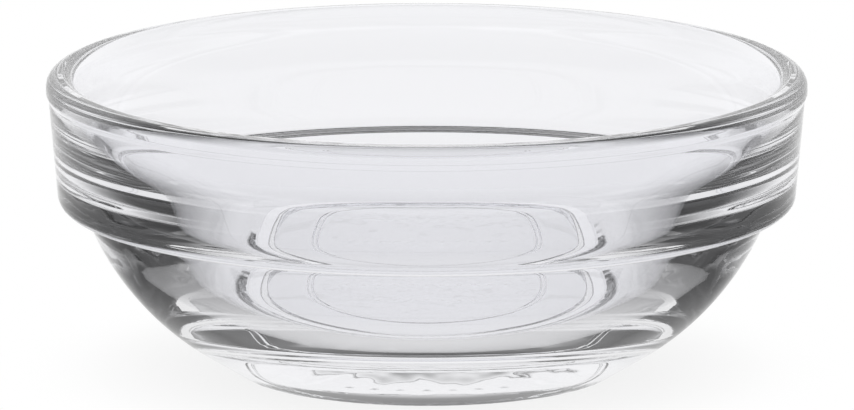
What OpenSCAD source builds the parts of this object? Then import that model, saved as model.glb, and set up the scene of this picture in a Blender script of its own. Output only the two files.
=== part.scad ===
// Stackable prep bowl in clear pressed glass, made in one piece.
// The whole bowl is one outline turned about the upright axis: a beaded rim,
// an upper band with a little draft, a ledge that rests on the rim of the bowl
// below in a stack, and a lower body that curves in to a small foot.
// Millimetres, +Z up, with the origin on the table under the middle of the foot.

/* [Overall] */
// Diameter over the bead of the rim, the widest part of the bowl
rim_d = 60; // [54:0.5:72]
// Height from the table to the top of the rim
bowl_h = 23.6; // [21.5:0.1:30]

/* [Rim] */
// Thickness of the glass across the rim
rim_wall = 2.58; // [2:0.01:3.2]
// Radius of the two rounded top edges of the rim
rim_round = 1.17; // [0.3:0.01:1.2]
// Height of the bead, from its lower edge to the top of the rim
bead_h = 1.4; // [0.8:0.05:3]
// How far the bead stands out past the band under it
bead_proud = 0.2; // [0.1:0.01:0.8]
// Height of the slope that leads from the band out to the bead
neck_h = 0.45; // [0.2:0.05:1]

/* [Upper band] */
// How much smaller the radius of the band is at its foot than at its top
band_draft = 0.78; // [0.2:0.01:1]
// Radius of the rounded lower corner of the band
band_round = 1.03; // [0.4:0.01:1.4]

/* [Stacking ledge] */
// Height of the ledge above the table
ledge_h = 13.1; // [11:0.1:16]
// Gap all round between the lower body and the mouth of the bowl it stands in
nest_gap = 0.14; // [0.1:0.01:0.6]
// Radius of the inner corner where the ledge meets the lower body
ledge_root_round = 0.16; // [0:0.01:0.6]

/* [Lower body] */
// How far the lower wall has drawn in where its curve is centred
knee_in = 4; // [3:0.1:5.5]
// Height above the table where the curve of the lower wall is centred
knee_h = 5.1; // [4.4:0.1:6.5]
// Radius of the curve of the lower wall
knee_round = 21.8; // [10:0.1:26]
// Diameter of the foot, out to the corner with the lower wall
foot_d = 29.94; // [26:0.02:33]
// Radius of the outer corner of the foot
foot_round = 0.53; // [0.2:0.01:1.2]

/* [Underside] */
// Width of the flat ring that the bowl stands on
bearing_w = 0.68; // [0.4:0.01:1.4]
// Depth of the shallow recess inside that ring
recess_h = 1.33; // [0.5:0.01:1.8]
// Width of the slope between the ring and the roof of the recess
recess_slope = 0.56; // [0.3:0.01:1.2]
// Radius of the corners of that slope
recess_round = 0.12; // [0.05:0.01:0.3]
// Middle diameter of the plain raised ring in the recess
mark_d = 19.2; // [14:0.1:22]
// Width of the raised ring
mark_w = 0.5; // [0.3:0.05:1]
// Height of the raised ring below the roof of the recess
mark_h = 0.15; // [0.05:0.05:0.3]

/* [Inside] */
// How far the inside has drawn in at the shoulder, where it leaves the upright
shoulder_in = 0.02; // [0:0.01:0.4]
// Height of the shoulder above the ledge
shoulder_rise = 6.57; // [5.6:0.01:7.6]
// Radius of the curve at the shoulder
shoulder_round = 11.6; // [6:0.1:18]
// How far the inside draws in from the shoulder to the waist
waist_in = 2.47; // [1.8:0.01:3.2]
// Height of the waist above the ledge
waist_rise = 0.92; // [0.2:0.01:1.8]
// Radius of the curve at the waist
waist_round = 10.5; // [3:0.1:16]
// How far the inside draws in from the waist to the belly
belly_in = 4.03; // [3.4:0.01:5]
// Height of the belly above the floor
belly_rise = 2.69; // [2.2:0.01:3.6]
// Radius of the curve at the belly
belly_round = 32.2; // [10:0.1:40]
// Diameter of the floor, out to the middle of its round edge
floor_d = 33.6; // [30:0.1:35]
// Radius of the round edge of the floor
floor_round = 10.3; // [4:0.1:14]
// Thickness of the glass between the floor and the recess
floor_wall = 4.05; // [3:0.01:5]

/* [Hidden] */
// Turn between two neighbouring points on a rounded corner
arc_step = 5;
// Share of an edge that its two rounded corners may use together
edge_share = 0.999;

rim_r = rim_d / 2;
mouth_r = rim_r - rim_wall;
band_top_r = rim_r - bead_proud;
band_foot_r = band_top_r - band_draft;
body_top_r = mouth_r - nest_gap;
knee_r = body_top_r - knee_in;
foot_r = foot_d / 2;
bearing_in_r = foot_r - foot_round - bearing_w;
recess_r = bearing_in_r - recess_slope;
mark_r = mark_d / 2;
bead_foot_z = bowl_h - bead_h;
shoulder_r = mouth_r - shoulder_in;
shoulder_z = ledge_h + shoulder_rise;
waist_r = shoulder_r - waist_in;
waist_z = ledge_h + waist_rise;
floor_z = recess_h + floor_wall;
belly_r = waist_r - belly_in;
belly_z = floor_z + belly_rise;
floor_r = floor_d / 2;

// Outlines. A corner is [radius from the axis, height, rounding].

function place(corner) = [corner[0], corner[1]];

function heading(c, i) =
    let (edge = place(c[i + 1]) - place(c[i]))
    edge / norm(edge);

function edge_length(c, i) = norm(place(c[i + 1]) - place(c[i]));

// Signed turn at corner i, positive to the left
function turn(c, i) =
    let (a = heading(c, i - 1), b = heading(c, i))
    atan2(a[0] * b[1] - a[1] * b[0], a * b);

function inner_corner(c, i) = i > 0 && i < len(c) - 1;

// Length of edge that the rounding of corner i takes up on each side
function asked(c, i) = inner_corner(c, i) ? c[i][2] * tan(abs(turn(c, i)) / 2) : 0;

// Share of its rounding that corner i can have beside its neighbours
function granted(c, i) =
    let (
        before = asked(c, i - 1) + asked(c, i),
        after = asked(c, i) + asked(c, i + 1),
        room_before = edge_share * edge_length(c, i - 1),
        room_after = edge_share * edge_length(c, i)
    )
    min(1, before > room_before ? room_before / before : 1, after > room_after ? room_after / after : 1);

// Points along the rounded corner i, tangent to both of its edges
function round_corner(c, i) =
    let (
        angle = turn(c, i),
        side = sign(angle),
        along = heading(c, i - 1),
        r = c[i][2] * granted(c, i),
        start = place(c[i]) - along * r * tan(abs(angle) / 2),
        centre = start + side * r * [-along[1], along[0]],
        arm = start - centre,
        steps = ceil(abs(angle) / arc_step)
    )
    [for (k = [0:steps])
        let (a = angle * k / steps)
        centre + [arm[0] * cos(a) - arm[1] * sin(a), arm[0] * sin(a) + arm[1] * cos(a)]
    ];

function rounded(c) = [
    for (i = [0:len(c) - 1])
        for (p = inner_corner(c, i) && c[i][2] > 0 ? round_corner(c, i) : [place(c[i])])
            p
];

// Underside, from the axis out to the foot
underside = [
    [0, recess_h, 0],
    [mark_r - mark_w / 2, recess_h, mark_h / 2],
    [mark_r - mark_w / 4, recess_h - mark_h, mark_h / 2],
    [mark_r + mark_w / 4, recess_h - mark_h, mark_h / 2],
    [mark_r + mark_w / 2, recess_h, mark_h / 2],
    [recess_r, recess_h, recess_round],
    [bearing_in_r, 0, recess_round],
    [foot_r, 0, foot_round],
];

// Outer wall, from the foot up to the bead
outer_wall = [
    [knee_r, knee_h, knee_round],
    [body_top_r, ledge_h, ledge_root_round],
    [band_foot_r, ledge_h, band_round],
    [band_top_r, bead_foot_z - neck_h, neck_h],
    [rim_r, bead_foot_z, neck_h],
];

// Rim and inside, from the outer edge of the rim down to the axis
rim_and_inside = [
    [rim_r, bowl_h, rim_round],
    [mouth_r, bowl_h, rim_round],
    [shoulder_r, shoulder_z, shoulder_round],
    [waist_r, waist_z, waist_round],
    [belly_r, belly_z, belly_round],
    [floor_r, floor_z, floor_round],
    [0, floor_z, 0],
];

module bowl() {
    color([0.86, 0.9, 0.91])
        rotate_extrude($fn = 180)
            polygon(rounded(concat(underside, outer_wall, rim_and_inside)));
}

bowl();
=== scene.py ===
from math import atan2, ceil, cos, hypot, pi, radians, sin, tan

import bpy
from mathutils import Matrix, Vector, noise


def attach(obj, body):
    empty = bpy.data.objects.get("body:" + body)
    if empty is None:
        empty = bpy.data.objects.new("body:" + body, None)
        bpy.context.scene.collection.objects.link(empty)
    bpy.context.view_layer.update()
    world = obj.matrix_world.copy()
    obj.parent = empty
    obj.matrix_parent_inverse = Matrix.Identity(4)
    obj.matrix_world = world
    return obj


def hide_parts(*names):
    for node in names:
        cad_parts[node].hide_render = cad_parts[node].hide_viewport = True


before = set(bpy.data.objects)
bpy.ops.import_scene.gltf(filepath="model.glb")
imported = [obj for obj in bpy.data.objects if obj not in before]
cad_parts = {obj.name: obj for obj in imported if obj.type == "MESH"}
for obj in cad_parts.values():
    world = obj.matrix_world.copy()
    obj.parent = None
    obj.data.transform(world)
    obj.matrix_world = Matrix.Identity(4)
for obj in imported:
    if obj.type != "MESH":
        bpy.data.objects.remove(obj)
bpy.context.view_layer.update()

MM = 0.001

# Sizes of the bowl in millimetres, the same as in the part
RIM_D = 60.0
BOWL_H = 23.6
RIM_WALL = 2.58
RIM_ROUND = 1.17
BEAD_H = 1.4
BEAD_PROUD = 0.2
NECK_H = 0.45
BAND_DRAFT = 0.78
BAND_ROUND = 1.03
LEDGE_H = 13.1
NEST_GAP = 0.14
LEDGE_ROOT_ROUND = 0.16
KNEE_IN = 4.0
KNEE_H = 5.1
KNEE_ROUND = 21.8
FOOT_D = 29.94
FOOT_ROUND = 0.53
BEARING_W = 0.68
RECESS_H = 1.33
RECESS_SLOPE = 0.56
RECESS_ROUND = 0.12
MARK_D = 19.2
MARK_W = 0.5
MARK_H = 0.15
SHOULDER_IN = 0.02
SHOULDER_RISE = 6.57
SHOULDER_ROUND = 11.6
WAIST_IN = 2.47
WAIST_RISE = 0.92
WAIST_ROUND = 10.5
BELLY_IN = 4.03
BELLY_RISE = 2.69
BELLY_ROUND = 32.2
FLOOR_D = 33.6
FLOOR_ROUND = 10.3
FLOOR_WALL = 4.05

# How much further out the inner edge of the lip stands than in the part, which was already made
# when it was found. It comes back to the part's wall at the shoulder.
LIP_SOFT = 0.4

# Fineness of the mesh
ROUND_SEGMENTS = 512
ARC_STEP = radians(3)
EDGE_SHARE = 0.999
LONGEST_EDGE = 0.6
FINE_EDGE = 0.15


# Outline of the glass. A corner is (radius from the axis, height, rounding).

def outline_corners():
    rim_r = RIM_D / 2
    mouth_r = rim_r - RIM_WALL
    band_top_r = rim_r - BEAD_PROUD
    band_foot_r = band_top_r - BAND_DRAFT
    body_top_r = mouth_r - NEST_GAP
    bead_foot_z = BOWL_H - BEAD_H
    bearing_in_r = FOOT_D / 2 - FOOT_ROUND - BEARING_W
    mark_r = MARK_D / 2
    shoulder_r = mouth_r - SHOULDER_IN
    waist_r = shoulder_r - WAIST_IN
    floor_z = RECESS_H + FLOOR_WALL
    underside = [
        (0, RECESS_H, 0),
        (mark_r - MARK_W / 2, RECESS_H, MARK_H / 2),
        (mark_r - MARK_W / 4, RECESS_H - MARK_H, MARK_H / 2),
        (mark_r + MARK_W / 4, RECESS_H - MARK_H, MARK_H / 2),
        (mark_r + MARK_W / 2, RECESS_H, MARK_H / 2),
        (bearing_in_r - RECESS_SLOPE, RECESS_H, RECESS_ROUND),
        (bearing_in_r, 0, RECESS_ROUND),
        (FOOT_D / 2, 0, FOOT_ROUND),
    ]
    outer_wall = [
        (body_top_r - KNEE_IN, KNEE_H, KNEE_ROUND),
        (body_top_r, LEDGE_H, LEDGE_ROOT_ROUND),
        (band_foot_r, LEDGE_H, BAND_ROUND),
        (band_top_r, bead_foot_z - NECK_H, NECK_H),
        (rim_r, bead_foot_z, NECK_H),
    ]
    rim_and_inside = [
        (rim_r, BOWL_H, RIM_ROUND - LIP_SOFT / 2),
        (mouth_r + LIP_SOFT, BOWL_H, RIM_ROUND - LIP_SOFT / 2),
        (shoulder_r, LEDGE_H + SHOULDER_RISE, SHOULDER_ROUND),
        (waist_r, LEDGE_H + WAIST_RISE, WAIST_ROUND),
        (waist_r - BELLY_IN, floor_z + BELLY_RISE, BELLY_ROUND),
        (FLOOR_D / 2, floor_z, FLOOR_ROUND),
        (0, floor_z, 0),
    ]
    return underside + outer_wall + rim_and_inside


def rounded(corners):
    """The outline with an arc at each corner, tangent to both of its edges."""
    last = len(corners) - 1
    edges = []
    for (r0, z0, _), (r1, z1, _) in zip(corners, corners[1:]):
        length = hypot(r1 - r0, z1 - z0)
        edges.append(((r1 - r0) / length, (z1 - z0) / length, length))

    turns = [0] * len(corners)
    asked = [0] * len(corners)
    for i in range(1, last):
        ar, az, _ = edges[i - 1]
        br, bz, _ = edges[i]
        turns[i] = atan2(ar * bz - az * br, ar * br + az * bz)
        asked[i] = corners[i][2] * tan(abs(turns[i]) / 2)

    points = [corners[0][:2]]
    for i in range(1, last):
        r, z, rounding = corners[i]
        if rounding == 0:
            points.append((r, z))
            continue
        ar, az, before = edges[i - 1]
        after = edges[i][2]
        room = min(
            1,
            EDGE_SHARE * before / max(asked[i - 1] + asked[i], 1e-9),
            EDGE_SHARE * after / max(asked[i] + asked[i + 1], 1e-9),
        )
        radius = rounding * room
        side = 1 if turns[i] > 0 else -1
        start_r = r - ar * asked[i] * room
        start_z = z - az * asked[i] * room
        centre_r = start_r - side * radius * az
        centre_z = start_z + side * radius * ar
        arm_r, arm_z = start_r - centre_r, start_z - centre_z
        steps = max(ceil(abs(turns[i]) / ARC_STEP), ceil(abs(turns[i]) * radius / LONGEST_EDGE))
        for k in range(steps + 1):
            a = turns[i] * k / steps
            points.append((
                centre_r + arm_r * cos(a) - arm_z * sin(a),
                centre_z + arm_r * sin(a) + arm_z * cos(a),
            ))
    points.append(corners[last][:2])
    return points


def divided(points):
    """The outline with its long straight edges divided."""
    fine = [points[0]]
    for (r0, z0), (r1, z1) in zip(points, points[1:]):
        length = hypot(r1 - r0, z1 - z0)
        if length < 1e-6:
            continue
        under_floor = max(r0, r1) < MARK_D / 2 and max(z0, z1) < RECESS_H + 0.01
        steps = max(1, ceil(length / (FINE_EDGE if under_floor else LONGEST_EDGE)))
        for k in range(1, steps + 1):
            fine.append((r0 + (r1 - r0) * k / steps, z0 + (z1 - z0) * k / steps))
    return fine


# Marks of the mould and of the pressing

# Each row of pips is (place across the rows, pips on each side of its middle)
PIP_ROWS = ((-3.2, 3), (0.0, 5), (3.2, 3))
PIP_PITCH = 1.3
PIP_RADIUS = 0.4
PIP_HEIGHT = 0.014
WRINKLE_HEIGHT = 0.009
WRINKLE_LENGTH = 1.7
RAGGED_EDGE = 0.05
# How far to each side of an edge its raggedness reaches
FOOT_EDGE_REACH = 0.8
STEP_EDGE_REACH = 0.6
WAVE_HEIGHT = 0.007
WAVE_LENGTH = 4.5
WAVE_FOOT = 2.0


def pips(x, y):
    """Height of the small plain pips in rows on the roof of the recess."""
    for row, half in PIP_ROWS:
        count = max(-half, min(half, round(x / PIP_PITCH)))
        away = hypot(x - count * PIP_PITCH, y - row)
        if away < PIP_RADIUS:
            return PIP_HEIGHT * (0.5 + 0.5 * cos(pi * away / PIP_RADIUS))
    return 0.0


def wrinkle(x, y):
    """Faint wrinkles of the glass that cooled first, on the roof of the recess."""
    place = Vector((x, y, 5.3)) / WRINKLE_LENGTH
    return WRINKLE_HEIGHT * (noise.noise(place) + 0.5 * noise.noise(place * 2.3))


def ragged(a, r):
    """Small unevenness of an edge where the glass met the bottom plate of the mould."""
    x, y = r * cos(a), r * sin(a)
    slow = noise.noise(Vector((x * 0.35, y * 0.35, 3.1)))
    quick = noise.noise(Vector((x * 1.6, y * 1.6, 7.7)))
    return RAGGED_EDGE * (0.5 * slow + quick)


def wave(x, y, z):
    """Slow unevenness of pressed glass, seen only in what shows through it."""
    place = Vector((x, y, z)) / WAVE_LENGTH
    return WAVE_HEIGHT * (noise.noise(place) + 0.08 * noise.noise(place * 3.7))


def turned_mesh(name, points):
    """The outline turned about the upright axis, with one point at each end of the axis."""
    inner = points[1:-1]
    rows = len(inner)
    foot_r = FOOT_D / 2
    step_r = foot_r - FOOT_ROUND - BEARING_W - RECESS_SLOPE / 2
    edge_rows = {}
    for k, (r, z) in enumerate(inner):
        if z < 1.0 and abs(r - foot_r) < FOOT_EDGE_REACH:
            edge_rows[k] = 1 - abs(r - foot_r) / FOOT_EDGE_REACH
        elif z < RECESS_H - 0.02 and abs(r - step_r) < STEP_EDGE_REACH:
            edge_rows[k] = 0.5 * (1 - abs(r - step_r) / STEP_EDGE_REACH)
    vertices = []
    for s in range(ROUND_SEGMENTS):
        a = 2 * pi * s / ROUND_SEGMENTS
        for k, (r, z) in enumerate(inner):
            if k in edge_rows:
                r += edge_rows[k] * ragged(a, r)
            elif z > WAVE_FOOT and r > 1:
                r += wave(r * cos(a), r * sin(a), z) * min(1, z - WAVE_FOOT)
                r = min(r, RIM_D / 2)
            x, y = r * cos(a), r * sin(a)
            if r < MARK_D / 2 - MARK_W and z < RECESS_H + 0.01:
                z += wrinkle(x, y) - pips(x, y)
            vertices.append((x * MM, y * MM, z * MM))
    low = len(vertices)
    vertices.append((0, 0, (points[0][1] + wrinkle(0, 0) - pips(0, 0)) * MM))
    high = len(vertices)
    vertices.append((0, 0, points[-1][1] * MM))

    faces = []
    for s in range(ROUND_SEGMENTS):
        here = s * rows
        there = (s + 1) % ROUND_SEGMENTS * rows
        faces.append((low, there, here))
        for k in range(rows - 1):
            faces.append((here + k, there + k, there + k + 1, here + k + 1))
        faces.append((here + rows - 1, there + rows - 1, high))
    mesh = bpy.data.meshes.new(name)
    mesh.from_pydata(vertices, [], faces)
    mesh.polygons.foreach_set("use_smooth", [True] * len(mesh.polygons))
    mesh.update()
    return mesh


# Shader sockets

class Socket:
    """An output of a shader node. Arithmetic on it adds Math nodes."""

    def __init__(self, tree, out=None):
        self.tree = tree
        self.out = out

    def node(self, kind, settings=None, sockets=None, out=0):
        """A new node of that kind, its settings made first, then its sockets set or linked."""
        new = self.tree.nodes.new(kind)
        for key, value in (settings or {}).items():
            setattr(new, key, value)
        for key, value in (sockets or {}).items():
            if isinstance(value, Socket):
                self.tree.links.new(value.out, new.inputs[key])
            else:
                new.inputs[key].default_value = value
        return Socket(self.tree, new.outputs[out] if new.outputs else None)

    def math(self, operation, *values, clamp=False):
        settings = {"operation": operation, "use_clamp": clamp}
        return self.node("ShaderNodeMath", settings, dict(enumerate(values)))

    def __add__(self, other):
        return self.math("ADD", self, other)

    __radd__ = __add__

    def __sub__(self, other):
        return self.math("SUBTRACT", self, other)

    def __rsub__(self, other):
        return self.math("SUBTRACT", other, self)

    def __mul__(self, other):
        return self.math("MULTIPLY", self, other)

    __rmul__ = __mul__

    def ramp(self, low, high):
        """0 at low and under, 1 at high and over, smooth between."""
        settings = {"interpolation_type": "SMOOTHSTEP"}
        sockets = {"Value": self, "From Min": low, "From Max": high}
        return self.node("ShaderNodeMapRange", settings, sockets)

    def graph(self, pairs, reach):
        """The value read off straight lines between the pairs, level beyond the ends."""
        share = self.math("MULTIPLY", self, 1 / reach, clamp=True)
        read = self.node("ShaderNodeValToRGB", None, {0: share}, "Color")
        stops = read.out.node.color_ramp.elements
        while len(stops) < len(pairs):
            stops.new(1.0)
        for stop, (place, value) in zip(stops, pairs):
            stop.position = place / reach
            stop.color = (value, value, value, 1)
        return read


def new_material(name):
    material = bpy.data.materials.new(name)
    material.use_nodes = True
    material.node_tree.nodes.clear()
    return material, Socket(material.node_tree)


GLASS_COLOUR = (0.975, 0.977, 1.0, 1)
GLASS_IOR = 1.52


def clear_glass():
    """Soda glass, fire polished, with the slow waves of a pressing."""
    material, tree = new_material("clear_pressed_glass")
    place = tree.node("ShaderNodeTexCoord", out="Object")
    waves = tree.node("ShaderNodeTexNoise", None, {"Vector": place, "Scale": 120.0, "Detail": 1.0}, "Fac")
    bump = tree.node("ShaderNodeBump", None, {"Strength": 0.015, "Distance": 0.0004, "Height": waves})
    glass = tree.node("ShaderNodeBsdfPrincipled", None, {
        "Base Color": GLASS_COLOUR,
        "Roughness": 0.0,
        "IOR": GLASS_IOR,
        "Transmission Weight": 1.0,
        "Normal": bump,
    })
    tree.node("ShaderNodeOutputMaterial", None, {"Surface": glass})
    return material


def build_bowl():
    points = divided(rounded(outline_corners()))
    mesh = turned_mesh("glass_bowl", points)
    bowl = bpy.data.objects.new("glass_bowl", mesh)
    bpy.context.scene.collection.objects.link(bowl)
    mesh.materials.append(clear_glass())
    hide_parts("bowl")
    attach(bowl, "root")
    return bowl


# The studio

CAMERA_DISTANCE = 1.42
CAMERA_ELEVATION = radians(11.56)
CAMERA_TARGET = Vector((0.00002, 0, 0.01299))
CAMERA_LENS = 759.0
SENSOR_WIDTH = 36.0
LIGHT_BOUNCES = 24


def add_camera():
    data = bpy.data.cameras.new("camera")
    data.sensor_width = SENSOR_WIDTH
    data.lens = CAMERA_LENS
    data.clip_start = 0.01
    data.clip_end = 100
    camera = bpy.data.objects.new("camera", data)
    towards = Vector((0, cos(CAMERA_ELEVATION), -sin(CAMERA_ELEVATION)))
    camera.location = CAMERA_TARGET - towards * CAMERA_DISTANCE
    camera.rotation_euler = towards.to_track_quat("-Z", "Y").to_euler()
    bpy.context.scene.collection.objects.link(camera)
    bpy.context.scene.camera = camera


# Brightness of the set as the glass shows it: bright behind the bowl and dark in front.
# A pair is (place, brightness). On the floor the place is the distance from the middle of
# the bowl in millimetres, and above the floor it is the height in degrees.

FLOOR_REACH = 500
ROOM_REACH = 90
# On the floor these brightnesses are painted into the card's glow: painted shade in front of the bowl and
# painted light behind it, seen only off and through the glass.
FLOOR_IN_FRONT = [(0, 0.95), (18, 0.95), (24, 0.5), (30, 0.05), (60, 0.05), (120, 0.3), (500, 0.9)]
FLOOR_BEHIND = [(0, 0.97), (500, 0.97)]
ROOM_IN_FRONT = [(0, 0.4), (8, 0.1), (90, 0.03)]
ROOM_BEHIND = [(0, 0.97), (33, 0.9), (45, 0.2), (90, 0.03)]
# Plain light of the room on the floor
ROOM_FILL = 0.6
# The bowl's shadow on the floor fades from one distance to the other, in millimetres
SHADOW_NEAR = 14
SHADOW_FAR = 34
SHADOW_SHARE = 0.14
FLOOR_HALF = 3.0
WHITE = (1, 1, 1, 1)


def set_light(tree, place, reach, in_front, behind, share):
    """White to the camera. Off the glass and through it, the brightness of the set."""
    camera, glossy, transmitted = (
        tree.node("ShaderNodeLightPath", out=name)
        for name in ("Is Camera Ray", "Is Glossy Ray", "Is Transmission Ray")
    )
    seen = camera.math("MAXIMUM", camera, camera.math("MAXIMUM", glossy, transmitted))
    front = place.graph(in_front, reach)
    level = front + share * (place.graph(behind, reach) - front)
    return seen, camera + (seen - camera) * level


def share_behind(tree, vector):
    """1 straight behind the bowl, 0 beside it and in front of it."""
    across, back = (tree.node("ShaderNodeSeparateXYZ", None, {"Vector": vector}, axis) for axis in "XY")
    level = across.math("SQRT", across * across + back * back)
    return back.math("DIVIDE", back, level.math("MAXIMUM", level, 0.0001)).ramp(0.0, 0.9)


def add_world():
    """A studio that is white behind the bowl and dark in front of it."""
    world = bpy.data.worlds.new("studio")
    world.use_nodes = True
    world.node_tree.nodes.clear()
    bpy.context.scene.world = world
    tree = Socket(world.node_tree)
    direction = tree.node("ShaderNodeTexCoord", out="Generated")
    upward = tree.node("ShaderNodeSeparateXYZ", None, {"Vector": direction}, "Z")
    height = upward.math("ARCSINE", upward) * (180 / pi)
    share = share_behind(tree, direction)
    seen, strength = set_light(tree, height, ROOM_REACH, ROOM_IN_FRONT, ROOM_BEHIND, share)
    total = strength + (1 - seen) * ROOM_FILL
    light = tree.node("ShaderNodeBackground", None, {"Color": WHITE, "Strength": total})
    tree.node("ShaderNodeOutputWorld", None, {"Surface": light})


def floor_material():
    """White card that glows: the camera sees it evenly white, while off and through the glass it shows a
    painted brightness, painted shade in front of the bowl and painted light behind it. Close to its foot
    a little of the bowl's own shadow shows.
    """
    material, tree = new_material("sweep_with_painted_glow")
    place = tree.node("ShaderNodeTexCoord", out="Object")
    distance = tree.node("ShaderNodeVectorMath", {"operation": "LENGTH"}, {0: place}, "Value") * 1000.0
    share = share_behind(tree, place)
    seen, strength = set_light(tree, distance, FLOOR_REACH, FLOOR_IN_FRONT, FLOOR_BEHIND, share)
    # The card's glow is painted light: white to the camera, and to rays off and through the glass painted
    # shade in front of the bowl and painted light behind it.
    painted_glow = tree.node("ShaderNodeEmission", None, {"Color": WHITE, "Strength": strength})
    card = tree.node("ShaderNodeBsdfDiffuse", None, {"Color": (0.9, 0.9, 0.9, 1)})
    shaded = (1 - distance.ramp(SHADOW_NEAR, SHADOW_FAR)) * SHADOW_SHARE + (1 - seen)
    mixed = tree.node("ShaderNodeMixShader", None, {0: shaded, 1: painted_glow, 2: card})
    tree.node("ShaderNodeOutputMaterial", None, {"Surface": mixed})
    return material


def add_floor():
    half = FLOOR_HALF
    corners = [(-half, -half, 0), (half, -half, 0), (half, half, 0), (-half, half, 0)]
    mesh = bpy.data.meshes.new("sweep")
    mesh.from_pydata(corners, [], [(0, 1, 2, 3)])
    mesh.materials.append(floor_material())
    floor = bpy.data.objects.new("sweep", mesh)
    bpy.context.scene.collection.objects.link(floor)


def add_lamp(name, place, size, power):
    data = bpy.data.lights.new(name, "AREA")
    data.shape = "RECTANGLE"
    data.size, data.size_y = size
    data.energy = power
    lamp = bpy.data.objects.new(name, data)
    lamp.location = place
    lamp.rotation_euler = (-Vector(place)).to_track_quat("-Z", "Y").to_euler()
    lamp.visible_glossy = False
    lamp.visible_transmission = False
    bpy.context.scene.collection.objects.link(lamp)


add_camera()
build_bowl()
add_floor()
add_world()
add_lamp("softbox", (0.0, 0.1, 0.9), (0.5, 0.5), 6.0)

scene = bpy.context.scene
scene.view_settings.view_transform = "Standard"
scene.cycles.max_bounces = LIGHT_BOUNCES
scene.cycles.transmission_bounces = LIGHT_BOUNCES
scene.cycles.glossy_bounces = LIGHT_BOUNCES
